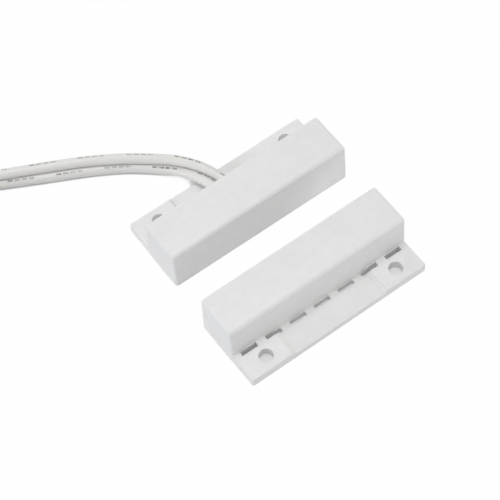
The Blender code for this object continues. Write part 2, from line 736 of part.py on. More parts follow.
def make_coil_tie(parent):
    # A flat strap around both layers, closed by a small square head.
    outer, inner = COIL_OUTER + CLEARANCE, COIL_INNER - CLEARANCE
    low = COIL_LIFT - CLEARANCE
    high = layer_height(1) + WIRE_RADIUS + CLEARANCE
    middle = ((inner + outer) / 2, 0, (low + high) / 2)
    room = Vector((outer - inner, TIE_WIDTH, high - low))
    bm = box_bmesh(room + Vector((2, 0, 2)) * TIE_THICKNESS, middle)

    def is_long_corner(edge):
        a, b = (vert.co for vert in edge.verts)
        return abs(a.y - b.y) > 0.9 * (Vector(a) - Vector(b)).length

    bevel_where(bm, is_long_corner, 1.5 * TIE_THICKNESS)
    tie = object_from(bm, "coil_tie", parent, coil_place())
    opening = box_bmesh(room + Vector((0, 2 * OVERSHOOT, 0)), middle)
    bevel_where(opening, is_long_corner, 0.6 * TIE_THICKNESS)
    hole = object_from(opening, "tie_opening", parent, coil_place())
    head_place = (outer - TIE_HEAD[0], 0, high + (TIE_HEAD[2] + TIE_THICKNESS) / 2)
    head = object_from(box_bmesh(TIE_HEAD, head_place), "tie_head", parent, coil_place())
    for piece in (tie, hole, head):
        piece.rotation_euler = (0, 0, TIE_ANGLE)
    cut(tie, hole)
    join(tie, head)
    return finish(tie, MATERIALS["nylon"])


def make_wire_tip(name, parent, layer):
    # The tinned end, curled along the inside of the coil.
    centre = coil_place(layer_height(layer))
    points = []
    for step in range(7):
        angle = TIP_START + TIP_SWEEP * step / 6
        points.append(centre + TIP_TURN * Vector((math.cos(angle), math.sin(angle), 0)))
    return finish(tube(name, points, TIP_RADIUS, parent), MATERIALS["solder"])


def make_switch_half():
    half = bpy.data.objects.new("switch_half", None)
    PARTS.objects.link(half)
    half.location = SWITCH_MIDDLE
    saddles = [reed_saddle(half, side) for side in (-1, 1)]
    make_housing("switch_housing", half, saddles, wire_hole_cutter(half))
    make_cover("switch_base_cover", half, cover_posts(half))
    make_reed_glass(half)
    for letter, side in (("a", -1), ("b", 1)):
        make_reed_lead(f"reed_lead_{letter}", half, side)
        make_solder_joint(f"solder_joint_{letter}", half, side)
        make_joint_sleeve(f"joint_sleeve_{letter}", half, side)
    make_wire_anchor(half, make_wires(half))
    for layer, letter in enumerate("ab"):
        make_coil(f"wire_coil_{letter}", half, layer)
        make_wire_tip(f"wire_tip_{letter}", half, layer)
    make_coil_tie(half)


# The magnet half


def magnet_saddle(parent, side):
    bottom = MAGNET_LIFT + MAGNET_HEIGHT - MAGNET_SADDLE_GRIP
    top = MAGNET_LIFT + MAGNET_HEIGHT + CLEARANCE
    left = MAGNET_Y - MAGNET_WIDTH / 2 - CLEARANCE
    right = MAGNET_Y + MAGNET_WIDTH / 2 + CLEARANCE
    notch = [(left, bottom), (left, top), (right, top), (right, bottom)]
    x = side * MAGNET_LENGTH / 3
    return make_saddle(f"magnet_saddle_{side}", parent, x, bottom, notch)


def foam_underside():
    return MAGNET_LIFT - CLEARANCE - FOAM_THICKNESS


def cover_rests(parent):
    # Two cross ribs on the cover that carry the foam strip.
    top = foam_underside() - CLEARANCE
    height = top - COVER_THICKNESS + BITE
    rests = []
    for side in (-1, 1):
        place = (side * FOAM_LENGTH / 3, MAGNET_Y, top - height / 2)
        bm = box_bmesh((POST_SIZE, MAGNET_WIDTH, height), place)
        rests.append(object_from(bm, f"foam_rest_{side}", parent))
    return rests


def make_bar_magnet(parent):
    bm = box_bmesh((MAGNET_LENGTH, MAGNET_WIDTH, MAGNET_HEIGHT))
    bevel_where(bm, lambda edge: True, MAGNET_EDGE, segments=2)
    place = (0, MAGNET_Y, MAGNET_LIFT + MAGNET_HEIGHT / 2)
    return finish(object_from(bm, "bar_magnet", parent, place), MATERIALS["ferrite"])


def make_foam_strip(parent):
    bm = box_bmesh((FOAM_LENGTH, FOAM_WIDTH, FOAM_THICKNESS))
    bevel_where(bm, is_upright, FOAM_CORNER)
    place = (0, MAGNET_Y, foam_underside() + FOAM_THICKNESS / 2)
    return finish(object_from(bm, "magnet_foam_strip", parent, place), MATERIALS["foam"])


def make_magnet_half():
    half = bpy.data.objects.new("magnet_half", None)
    PARTS.objects.link(half)
    half.location = MAGNET_MIDDLE
    half.rotation_euler = (0, 0, math.pi)
    saddles = [magnet_saddle(half, side) for side in (-1, 1)]
    make_housing("magnet_housing", half, saddles)
    make_cover("magnet_base_cover", half, cover_rests(half))
    make_bar_magnet(half)
    make_foam_strip(half)


clear_scene()
PARTS = make_collection("magnetic_door_contact")
HELPERS = make_collection("helpers")
MATERIALS = {
    "abs": make_material("white_abs", (0.76, 0.76, 0.75), 0.42),
    "pvc": make_material("white_pvc", (0.70, 0.70, 0.68), 0.38),
    "nylon": make_material("natural_nylon", (0.74, 0.74, 0.70), 0.35),
    "glass": make_material("reed_glass_green", (0.62, 0.80, 0.68), 0.05, transmission=1.0),
    "nickel_iron": make_material("nickel_iron", (0.62, 0.59, 0.53), 0.3, metallic=1.0),
    "solder": make_material("tinned_solder", (0.68, 0.69, 0.71), 0.28, metallic=1.0),
    "sleeve": make_material("shrink_sleeve", (0.05, 0.05, 0.05), 0.5),
    "hot_melt": make_material("hot_melt", (0.78, 0.72, 0.55), 0.3),
    "ferrite": make_material("ferrite", (0.06, 0.06, 0.065), 0.55),
    "foam": make_material("grey_foam", (0.22, 0.22, 0.23), 0.9),
}
make_switch_half()
make_magnet_half()
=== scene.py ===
import math

import bmesh
import bpy
from mathutils import Matrix, Vector


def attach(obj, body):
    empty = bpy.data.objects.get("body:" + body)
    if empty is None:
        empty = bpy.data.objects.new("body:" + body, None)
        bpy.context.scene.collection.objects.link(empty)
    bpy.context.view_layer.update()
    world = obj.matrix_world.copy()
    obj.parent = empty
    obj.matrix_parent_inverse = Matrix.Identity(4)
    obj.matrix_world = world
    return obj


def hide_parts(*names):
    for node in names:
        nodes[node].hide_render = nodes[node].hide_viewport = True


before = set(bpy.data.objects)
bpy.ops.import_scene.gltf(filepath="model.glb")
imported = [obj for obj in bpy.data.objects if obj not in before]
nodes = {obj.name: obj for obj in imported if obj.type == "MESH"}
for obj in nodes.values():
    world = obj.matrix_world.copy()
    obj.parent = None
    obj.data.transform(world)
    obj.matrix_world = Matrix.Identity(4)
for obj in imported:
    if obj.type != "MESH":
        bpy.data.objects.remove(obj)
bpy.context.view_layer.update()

mm = 0.001
print("frame loaded:", len(nodes), "nodes")

# the picture's own viewing angle
cameraSettings = {
    "place": (-0.122035, -0.187305, 0.379403),  # m
    "turn": (30.4437, 2.7016, -36.0568),  # degrees
    "lens": 132.7117,  # mm
    "sensor": 36.0,
    "clip": (0.01, 20.0),  # m
}


def addCamera(s):
    data = bpy.data.cameras.new("photoCamera")
    data.lens = s["lens"]
    data.sensor_width = s["sensor"]
    data.clip_start, data.clip_end = s["clip"]
    camera = bpy.data.objects.new("photoCamera", data)
    camera.location = s["place"]
    camera.rotation_euler = [math.radians(angle) for angle in s["turn"]]
    bpy.context.scene.collection.objects.link(camera)
    bpy.context.scene.camera = camera


addCamera(cameraSettings)
print("camera placed")

# the two hook-up wires and the coil of the length that lies beyond the picture, in mm from
# the middle of the switch half
wireSettings = {
    "switchMiddle": (0.575, 12.15),
    "bodyHalfWidth": 6.0,
    "radius": 1.3,
    "pitch": 2.62,  # the two lie against each other
    "exitSpread": 0.58,  # how much further apart they are in the wall's hole
    "exitHeight": 3.8,
    "spliceY": 0.8,  # where the solder joints lie
    "end": 7.4,
    "bend": 3.5,
    "bendSteps": 3,
    "coilTurn": 16.8,  # radius of the outermost turn
    "coilTurns": 2.5,
    "turnPitch": 2.9,
    "turnPoints": 24,
    "coilLift": 0.75,
    "clearance": 0.3,
    "endSwing": 2.35,  # how far the last fifth of a turn swings in
    "swingPoints": 5,
    "swingEase": 0.35,
    "fineSteps": 16,  # between two points of the route
    "step": 0.75,
    "sides": 24,
    "cutRadius": 0.86,  # share of the radius that is left at a cut end
    "cutLength": 0.12,
    "cutTurn": 0.75,  # the side of the wire, away from the dashes, that colours a cut end
    "sharp": 50,  # degrees
    # x, distance from the wall, roll in degrees, shares of spread, exit height and coil height
    "pairRows": [
        (-0.5, 0.1, 0, 1.0, 1.0, 0.0),
        (-2.0, 4.1, 6, 0.2, 1.0, 0.0),
        (-3.1, 6.95, 22, 0.0, 1.0, 0.0),
        (-4.8, 10.5, 42, 0.0, 0.78, 0.0),
        (-7.2, 14.4, 56, 0.0, 0.44, 0.0),
        (-10.1, 17.7, 63, 0.0, 0.19, 0.0),
        (-14.4, 21.5, 67, 0.0, 0.06, 0.0),
        (-17.8, 24.0, 66, 0.0, 0.04, 0.0),
        (-22.6, 27.1, 60, 0.0, 0.03, 0.0),
        (-27.0, 29.6, 56, 0.0, 0.02, 0.0),
        (-34.5, 33.45, 58, 0.0, 0.02, 0.1),
        (-42.0, 37.2, 68, 0.0, 0.0, 0.35),
        (-49.0, 40.6, 80, 0.0, 0.0, 0.7),
        (-55.1, 43.75, 90, 0.0, 0.0, 1.0),
    ],
}


def innerStretch(side, s):
    # from the solder joint, a quarter turn into the wall's hole
    half = (s["pitch"] + s["exitSpread"]) / 2
    turnX, turnY = half + s["bend"], s["spliceY"] + s["bend"]
    points = [(s["end"], s["spliceY"]), ((s["end"] + turnX) / 2, s["spliceY"])]
    for index in range(s["bendSteps"] + 1):
        angle = math.radians(270 - 90 * index / s["bendSteps"])
        points.append((turnX + s["bend"] * math.cos(angle), turnY + s["bend"] * math.sin(angle)))
    return [Vector((side * x, y, s["exitHeight"])) for x, y in points]


def pairMiddles(s):
    middles = []
    for x, out, roll, _, wallShare, coilShare in s["pairRows"]:
        under = wallShare * (s["exitHeight"] - s["radius"]) + coilShare * s["coilLift"]
        raised = math.sin(math.radians(roll)) * s["pitch"] / 2
        middles.append(Vector((x, s["bodyHalfWidth"] + out, under + s["radius"] + raised)))
    return middles


def coilGeometry(s):
    middles = pairMiddles(s)
    ahead = (middles[-1] - middles[-2]).xy.normalized()
    left = Vector((-ahead.y, ahead.x))
    outer = s["coilTurn"] + s["radius"] + s["clearance"]
    run = math.sqrt(outer**2 - (s["coilTurn"] - s["radius"]) ** 2)
    centre = middles[-1].xy + run * ahead + s["coilTurn"] * left
    return centre, math.atan2(-left.y, -left.x)


def spiralPoints(s, layer):
    # inward turns, the last fifth of one swinging in to the bare end
    centre, start = coilGeometry(s)
    height = s["coilLift"] + s["radius"] + layer * s["pitch"]
    count = int(s["coilTurns"] * s["turnPoints"])
    points = []
    for index in range(count + 1):
        turned = 2 * math.pi * s["coilTurns"] * index / count
        radius = s["coilTurn"] - s["turnPitch"] * turned / (2 * math.pi)
        left = (count - index) / s["swingPoints"]
        if left < 1:
            radius -= s["endSwing"] * (1 - left) ** 2 * (1 + s["swingEase"] * left)
        angle = start + turned
        x, y = centre.x + radius * math.cos(angle), centre.y + radius * math.sin(angle)
        points.append(Vector((x, y, height)))
    return points


def wireRoute(side, s):
    middles = pairMiddles(s)
    route = innerStretch(side, s)
    for index, (_, _, roll, spread, _, _) in enumerate(s["pairRows"]):
        before, after = middles[max(index - 1, 0)], middles[min(index + 1, len(middles) - 1)]
        heading = (after - before).normalized()
        right = heading.cross(Vector((0, 0, 1))).normalized()
        turned = right * math.cos(math.radians(roll))
        turned.z += math.sin(math.radians(roll))
        route.append(middles[index] + turned * side * (s["pitch"] + spread * s["exitSpread"]) / 2)
    return route + spiralPoints(s, (side + 1) // 2)


def evenPath(points, s):
    # a smooth curve through the points, read off at even steps
    ends = [2 * points[0] - points[1]] + points + [2 * points[-1] - points[-2]]
    fine = []
    for a, b, c, d in zip(ends, ends[1:], ends[2:], ends[3:]):
        for index in range(s["fineSteps"]):
            t = index / s["fineSteps"]
            bend = (2 * a - 5 * b + 4 * c - d) * t**2 + (3 * b - a - 3 * c + d) * t**3
            fine.append(0.5 * (2 * b + (c - a) * t + bend))
    fine.append(points[-1])
    total = [0.0]
    for a, b in zip(fine, fine[1:]):
        total.append(total[-1] + (b - a).length)
    count = round(total[-1] / s["step"])
    path, index = [], 0
    for number in range(count + 1):
        wanted = total[-1] * number / count
        while index < len(fine) - 2 and total[index + 1] < wanted:
            index += 1
        share = (wanted - total[index]) / (total[index + 1] - total[index])
        path.append(fine[index].lerp(fine[index + 1], min(1.0, share)))
    return path, total[-1]


def sweepRound(name, path, s):
    # a tube with rounded cut ends; u is the length along it in mm, v its turn from 0 to 1
    sides, cut = s["sides"], s["cutRadius"]
    rings, verts, faces, uvs = [], [], [], []
    along = [0.0]
    for a, b in zip(path, path[1:]):
        along.append(along[-1] + (b - a).length)
    stations = [(0, cut), *[(index, 1.0) for index in range(len(path))], (len(path) - 1, cut)]
    for number, (index, share) in enumerate(stations):
        before, after = path[max(index - 1, 0)], path[min(index + 1, len(path) - 1)]
        tangent = (after - before).normalized()
        sideways = tangent.cross(Vector((0, 0, 1))).normalized()
        up = sideways.cross(tangent)
        nudge = tangent * s["cutLength"] * ((number == len(stations) - 1) - (number == 0))
        ring = []
        for turn in range(sides):
            angle = 2 * math.pi * turn / sides
            out = sideways * math.cos(angle) + up * math.sin(angle)
            ring.append(len(verts))
            verts.append(path[index] + nudge + out * s["radius"] * share)
        rings.append((ring, along[index]))
    for (first, start), (second, end) in zip(rings, rings[1:]):
        for turn in range(sides):
            after = (turn + 1) % sides
            faces.append((first[turn], second[turn], second[after], first[after]))
            low, high = turn / sides, (turn + 1) / sides
            uvs.append([(start, low), (end, low), (end, high), (start, high)])
    for ring, flip in ((rings[0], True), (rings[-1], False)):
        faces.append(tuple(ring[0] if flip else ring[0][::-1]))
        uvs.append([(ring[1], s["cutTurn"])] * sides)
    mesh = bpy.data.meshes.new(name)
    mesh.from_pydata([v * mm for v in verts], [], faces)
    layer = mesh.uv_layers.new(name="UVMap")
    for polygon, corners in zip(mesh.polygons, uvs):
        for loop, corner in zip(polygon.loop_indices, corners):
            layer.data[loop].uv = corner
    bm = bmesh.new()
    bm.from_mesh(mesh)
    bmesh.ops.recalc_face_normals(bm, faces=bm.faces)
    bm.to_mesh(mesh)
    bm.free()
    mesh.shade_smooth()
    mesh.set_sharp_from_angle(angle=math.radians(s["sharp"]))
    made = bpy.data.objects.new(name, mesh)
    bpy.context.scene.collection.objects.link(made)
    return made


def makeWire(letter, side, s):
    shift = Vector((*s["switchMiddle"], 0))
    path, length = evenPath([p + shift for p in wireRoute(side, s)], s)
    wire = sweepRound("lead_wire_" + letter, path, s)
    print("wire", letter, "length mm", round(length, 1))
    return wire, path


def declareWire(wire):
    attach(wire, "switch_half")
    letter = wire.name[-1]
    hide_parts("wire_" + letter, "wire_coil_" + letter)


wireA, pathA = makeWire("a", -1, wireSettings)
wireB, pathB = makeWire("b", 1, wireSettings)
print("wires swept")


def linearColor(code):
    parts = [int(code[i : i + 2], 16) / 255 for i in (1, 3, 5)]
    return (*[p / 12.92 if p <= 0.04045 else ((p + 0.055) / 1.055) ** 2.4 for p in parts], 1.0)


def addNode(tree, kind, settings=None, links=None, **attributes):
    # settings: socket -> value, links: socket -> output of another node
    node = tree.nodes.new(kind)
    for name, value in attributes.items():
        setattr(node, name, value)
    for socket, value in (settings or {}).items():
        node.inputs[socket].default_value = value
    for socket, source in (links or {}).items():
        tree.links.new(source, node.inputs[socket])
    return node


def startMaterial(name, settings):
    material = bpy.data.materials.new(name)
    material.use_nodes = True
    shader = material.node_tree.nodes["Principled BSDF"]
    for socket, value in settings.items():
        shader.inputs[socket].default_value = value
    return material, material.node_tree, shader


def startGeometry(name, sizes):
    # a geometry tree with a named input for each size, and the geometry that it works on
    tree = bpy.data.node_groups.new(name, "GeometryNodeTree")
    tree.interface.new_socket("Geometry", in_out="INPUT", socket_type="NodeSocketGeometry")
    for size, value in sizes.items():
        kind = "NodeSocketInt" if isinstance(value, int) else "NodeSocketFloat"
        tree.interface.new_socket(size, in_out="INPUT", socket_type=kind)
    tree.interface.new_socket("Material", in_out="INPUT", socket_type="NodeSocketMaterial")
    tree.interface.new_socket("Geometry", in_out="OUTPUT", socket_type="NodeSocketGeometry")
    return tree, tree.nodes.new("NodeGroupInput").outputs, tree.nodes.new("NodeGroupOutput")


def pathCurve(name, points, closed=False):
    curve = bpy.data.curves.new(name, "CURVE")
    curve.dimensions = "3D"
    spline = curve.splines.new("POLY")
    spline.points.add(len(points) - 1)
    for point, place in zip(spline.points, points):
        point.co = (*place, 1)
    spline.use_cyclic_u = closed
    made = bpy.data.objects.new(name, curve)
    bpy.context.scene.collection.objects.link(made)
    return made


def meshFromTree(name, guide, tree, sizes, material):
    # runs the tree on the guide curve and keeps its result as a plain mesh
    modifier = guide.modifiers.new("make", "NODES")
    modifier.node_group = tree
    for item in tree.interface.items_tree:
        if item.in_out == "INPUT" and item.name in sizes:
            modifier[item.identifier] = sizes[item.name]
        elif item.in_out == "INPUT" and item.name == "Material":
            modifier[item.identifier] = material
    graph = bpy.context.evaluated_depsgraph_get()
    mesh = bpy.data.meshes.new_from_object(guide.evaluated_get(graph))
    mesh.name = name
    guide.modifiers.remove(modifier)
    bpy.data.objects.remove(guide, do_unlink=True)
    made = bpy.data.objects.new(name, mesh)
    bpy.context.scene.collection.objects.link(made)
    return made


inMillimetres = (1 / mm, 1 / mm, 1 / mm)  # turns the coordinates of an object into mm


def makeGrained(name, settings, low, high, grain, bump=0.1, depth=0.05):
    # a material whose tone and surface vary with a grain; grain and depth are in mm
    material, tree, shader = startMaterial(name, settings)
    where = addNode(tree, "ShaderNodeTexCoord")
    points = addNode(
        tree, "ShaderNodeMapping", {"Scale": inMillimetres}, {"Vector": where.outputs["Object"]}
    )
    noise = addNode(
        tree,
        "ShaderNodeTexNoise",
        {"Scale": 1 / grain, "Detail": 4.0, "Roughness": 0.6},
        {"Vector": points.outputs["Vector"]},
    ).outputs["Fac"]
    color = addNode(
        tree,
        "ShaderNodeMixRGB",
        {"Color1": linearColor(low), "Color2": linearColor(high)},
        {"Fac": noise},
    )
    tree.links.new(color.outputs["Color"], shader.inputs["Base Color"])
    relief = addNode(
        tree, "ShaderNodeBump", {"Strength": bump, "Distance": depth * mm}, {"Height": noise}
    )
    tree.links.new(relief.outputs["Normal"], shader.inputs["Normal"])
    return material


# tin: bright where it has flowed, slightly frosted where it cooled
flowedTin = makeGrained(
    "flowedTin",
    {"Metallic": 1.0, "Roughness": 0.26},
    low="#C4C6C9",
    high="#DDDEE0",
    grain=0.4,
)
# nylon: natural, smooth from the mould and slightly see-through, so it looks soft
mouldedNylon = makeGrained(
    "mouldedNylon",
    {
        "Roughness": 0.33,
        "IOR": 1.53,
        "Subsurface Weight": 0.2,
        "Subsurface Radius": (1.0, 0.97, 0.92),
        "Subsurface Scale": 0.001,
    },
    low="#E6E5DE",
    high="#ECEBE6",
    grain=2.0,
)

# the tinned bare end of each wire: strands twisted round one in the middle, sizes in m
strandSettings = {
    "Outer strands": 6,
    "Strand radius": 0.00015,
    "Lay radius": 0.0003,
    "Turns per metre": 110.0,
    "Corners": 8,
}
bareEnd = {
    "start": 246,  # degrees round the coil
    "sweep": 56,  # degrees
    "turn": 7.2,  # mm, the radius that it is bent to
    "points": 60,
}


def strandTree(s):
    tree, inputs, output = startGeometry("twistedStrands", s)
    copies = addNode(
        tree,
        "GeometryNodeDuplicateElements",
        links={"Geometry": inputs["Geometry"], "Amount": inputs["Outer strands"]},
        domain="SPLINE",
    )
    along = addNode(tree, "GeometryNodeSplineParameter")
    share = addNode(
        tree,
        "ShaderNodeMath",
        links={0: copies.outputs["Duplicate Index"], 1: inputs["Outer strands"]},
        operation="DIVIDE",
    )
    twist = addNode(
        tree,
        "ShaderNodeMath",
        links={0: along.outputs["Length"], 1: inputs["Turns per metre"], 2: share.outputs[0]},
        operation="MULTIPLY_ADD",
    )
    angle = addNode(
        tree, "ShaderNodeMath", {1: 2 * math.pi}, {0: twist.outputs[0]}, operation="MULTIPLY"
    )
    normal = addNode(tree, "GeometryNodeInputNormal")
    tangent = addNode(tree, "GeometryNodeInputTangent")
    out = addNode(
        tree,
        "ShaderNodeVectorRotate",
        links={
            "Vector": normal.outputs["Normal"],
            "Axis": tangent.outputs["Tangent"],
            "Angle": angle.outputs[0],
        },
        rotation_type="AXIS_ANGLE",
    )
    offset = addNode(
        tree,
        "ShaderNodeVectorMath",
        links={0: out.outputs["Vector"], "Scale": inputs["Lay radius"]},
        operation="SCALE",
    )
    laid = addNode(
        tree,
        "GeometryNodeSetPosition",
        links={"Geometry": copies.outputs["Geometry"], "Offset": offset.outputs["Vector"]},
    )
    every = tree.nodes.new("GeometryNodeJoinGeometry")
    tree.links.new(laid.outputs["Geometry"], every.inputs[0])
    tree.links.new(inputs["Geometry"], every.inputs[0])
    section = addNode(
        tree,
        "GeometryNodeCurvePrimitiveCircle",
        links={"Resolution": inputs["Corners"], "Radius": inputs["Strand radius"]},
    )
    skin = addNode(
        tree,
        "GeometryNodeCurveToMesh",
        {"Fill Caps": True},
        {"Curve": every.outputs["Geometry"], "Profile Curve": section.outputs["Curve"]},
    )
    real = addNode(
        tree, "GeometryNodeRealizeInstances", links={"Geometry": skin.outputs["Mesh"]}
    )
    dressed = addNode(
        tree,
        "GeometryNodeSetMaterial",
        links={"Geometry": real.outputs["Geometry"], "Material": inputs["Material"]},
    )
    tree.links.new(dressed.outputs["Geometry"], output.inputs["Geometry"])
    return tree


def coilPoint(radius, angle, height, s):
    # a point round the coil's middle, in metres
    centre, _ = coilGeometry(s)
    x = s["switchMiddle"][0] + centre.x + radius * math.cos(angle)
    y = s["switchMiddle"][1] + centre.y + radius * math.sin(angle)
    return Vector((x, y, height)) * mm


def makeStrands(letter, layer, tree, s, wire):
    height = wire["coilLift"] + wire["radius"] + layer * wire["pitch"]
    points = []
    for index in range(s["points"]):
        angle = math.radians(s["start"] + s["sweep"] * index / (s["points"] - 1))
        points.append(coilPoint(s["turn"], angle, height, wire))
    guide = pathCurve("bare_strands_" + letter, points)
    strands = meshFromTree("tinned_strands_" + letter, guide, tree, strandSettings, flowedTin)
    strands.data.shade_smooth()
    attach(strands, "switch_half")
    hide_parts("wire_tip_" + letter)
    return strands


twistedStrands = strandTree(strandSettings)
strandsA = makeStrands("a", 0, twistedStrands, bareEnd, wireSettings)
strandsB = makeStrands("b", 1, twistedStrands, bareEnd, wireSettings)
print("bare ends stranded")

# the tie round the coil: a toothed strap, sizes in m, through a moulded head, sizes in mm
strapSettings = {
    "Strap width": 0.0025,
    "Strap thickness": 0.0004,
    "Tooth pitch": 0.0009,
    "Tooth length": 0.0017,
    "Tooth height": 0.00016,
    "Tooth share": 0.45,  # of the pitch
}
tieSettings = {
    "angle": 140,  # degrees round the coil
    "inside": 8.8,  # mm from the coil's middle
    "outside": 17.75,
    "slack": 0.22,  # below and above the coil
    "corner": 0.9,
    "cornerSteps": 4,
    "head": (3.2, 3.9, 1.8),
    "headLift": 0.2,
    "headEdge": 0.175,
    "endInset": (0.4, 0.1),  # how much narrower and lower than the sides the end walls are
    "slot": (1.3, 2.7),
    "tail": 1.1,  # what the cutters left of the tail
    "tailEdge": 0.1,
    "sharp": 35,  # degrees
}


def strapTree(s):
    tree, inputs, output = startGeometry("toothedStrap", s)
    section = addNode(
        tree,
        "GeometryNodeCurvePrimitiveQuadrilateral",
        links={"Width": inputs["Strap width"], "Height": inputs["Strap thickness"]},
    )
    strap = addNode(
        tree,
        "GeometryNodeCurveToMesh",
        links={"Curve": inputs["Geometry"], "Profile Curve": section.outputs["Curve"]},
    )
    spots = addNode(
        tree,
        "GeometryNodeCurveToPoints",
        links={"Curve": inputs["Geometry"], "Length": inputs["Tooth pitch"]},
        mode="LENGTH",
    )
    width = addNode(
        tree,
        "ShaderNodeMath",
        links={0: inputs["Tooth pitch"], 1: inputs["Tooth share"]},
        operation="MULTIPLY",
    )
    shape = addNode(
        tree,
        "ShaderNodeCombineXYZ",
        links={"X": inputs["Tooth length"], "Y": inputs["Tooth height"], "Z": width.outputs[0]},
    )
    tooth = addNode(tree, "GeometryNodeMeshCube", links={"Size": shape.outputs["Vector"]})
    facing = addNode(
        tree,
        "FunctionNodeAxesToRotation",
        links={
            "Primary Axis": spots.outputs["Tangent"],
            "Secondary Axis": spots.outputs["Normal"],
        },
        primary_axis="Z",
        secondary_axis="X",
    )
    outward = addNode(
        tree,
        "ShaderNodeVectorMath",
        links={0: spots.outputs["Tangent"], 1: spots.outputs["Normal"]},
        operation="CROSS_PRODUCT",
    )
    half = addNode(
        tree, "ShaderNodeMath", {1: 0.5}, {0: inputs["Strap thickness"]}, operation="MULTIPLY"
    )
    lift = addNode(
        tree,
        "ShaderNodeVectorMath",
        links={0: outward.outputs["Vector"], "Scale": half.outputs[0]},
        operation="SCALE",
    )
    raised = addNode(
        tree,
        "GeometryNodeSetPosition",
        links={"Geometry": spots.outputs["Points"], "Offset": lift.outputs["Vector"]},
    )
    placed = addNode(
        tree,
        "GeometryNodeInstanceOnPoints",
        links={
            "Points": raised.outputs["Geometry"],
            "Instance": tooth.outputs["Mesh"],
            "Rotation": facing.outputs["Rotation"],
        },
    )
    both = tree.nodes.new("GeometryNodeJoinGeometry")
    tree.links.new(strap.outputs["Mesh"], both.inputs[0])
    tree.links.new(placed.outputs["Instances"], both.inputs[0])
    real = addNode(
        tree, "GeometryNodeRealizeInstances", links={"Geometry": both.outputs["Geometry"]}
    )
    dressed = addNode(
        tree,
        "GeometryNodeSetMaterial",
        links={"Geometry": real.outputs["Geometry"], "Material": inputs["Material"]},
    )
    tree.links.new(dressed.outputs["Geometry"], output.inputs["Geometry"])
    return tree


def strapLoop(s, low, high):
    # (distance from the coil's middle, height) round the coil's section, with round corners
    corners = [
        (s["inside"], low, 180),
        (s["outside"], low, 270),
        (s["outside"], high, 0),
        (s["inside"], high, 90),
    ]
    loop = []
    for across, height, start in corners:
        x = across + s["corner"] * (1 if across == s["inside"] else -1)
        z = height + s["corner"] * (1 if height == low else -1)
        for step in range(s["cornerSteps"] + 1):
            angle = math.radians(start + 90 * step / s["cornerSteps"])
            loop.append((x + s["corner"] * math.cos(angle), z + s["corner"] * math.sin(angle)))
    return loop


def addBlock(bm, size, place, edge):
    # a small block with softened edges
    matrix = Matrix.Translation(place) @ Matrix.Diagonal((*size, 1))
    made = bmesh.ops.create_cube(bm, size=1, matrix=matrix)
    edges = {found for vert in made["verts"] for found in vert.link_edges}
    bmesh.ops.bevel(bm, geom=list(edges), offset=edge, segments=2, profile=0.5, affect="EDGES")


def makeTie(s, wire):
    low = wire["coilLift"] - s["slack"]
    high = wire["coilLift"] + 2 * wire["radius"] + wire["pitch"] + s["slack"]
    angle = math.radians(s["angle"])
    points = [coilPoint(across, angle, height, wire) for across, height in strapLoop(s, low, high)]
    guide = pathCurve("tie_path", points, closed=True)
    tie = meshFromTree("nylon_tie", guide, strapTree(strapSettings), strapSettings, mouldedNylon)
    turn = Matrix.Rotation(angle, 4, "Z")
    turn.translation = coilPoint(0, 0, 0, wire)
    bm = bmesh.new()
    bm.from_mesh(tie.data)
    length, width, height = s["head"]
    slotLength, slotWidth = s["slot"]
    narrower, lower = s["endInset"]
    middle = s["outside"] - length
    top = high + s["headLift"]
    sideWall, endWall = (width - slotWidth) / 2, (length - slotLength) / 2
    head = bmesh.new()
    for side in (-1, 1):
        place = (middle, side * (slotWidth + sideWall) / 2, top + height / 2)
        addBlock(head, (length, sideWall, height), place, s["headEdge"])
        place = (middle + side * (slotLength + endWall) / 2, 0, top + height / 2)
        addBlock(head, (endWall, width - narrower, height - lower), place, s["headEdge"])
    strap = (strapSettings["Strap thickness"] / mm, strapSettings["Strap width"] / mm)
    tall = height + s["tail"]
    addBlock(head, (*strap, tall), (middle, 0, top + tall / 2), s["tailEdge"])
    bmesh.ops.scale(head, vec=(mm, mm, mm), verts=head.verts)
    bmesh.ops.transform(head, matrix=turn, verts=head.verts)
    made = bpy.data.meshes.new("tie_head")
    head.to_mesh(made)
    head.free()
    bm.from_mesh(made)
    bpy.data.meshes.remove(made)
    bmesh.ops.recalc_face_normals(bm, faces=bm.faces)
    bm.to_mesh(tie.data)
    bm.free()
    tie.data.shade_smooth()
    tie.data.set_sharp_from_angle(angle=math.radians(s["sharp"]))
    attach(tie, "switch_half")
    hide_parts("coil_tie")
    return tie


tie = makeTie(tieSettings, wireSettings)
declareWire(wireA)
declareWire(wireB)
print("tie made and both wires declared")

# white ABS, injection moulded: an even satin, a very fine spark-eroded grain, and broad faces
# whose tone drifts a little where the thick plastic has sunk
mouldedAbs = {
    "color": "#EBEBEA",
    "shade": "#E7E7E6",
    "grain": 0.35,  # mm, drawn about three times as coarse as it is so that it shows
    "mottle": 2.2,  # mm, faint flow marks
    "sink": 11.0,  # mm, the slow drift of the broad faces
    "sinkShare": 0.6,  # of the drift against the flow marks
}


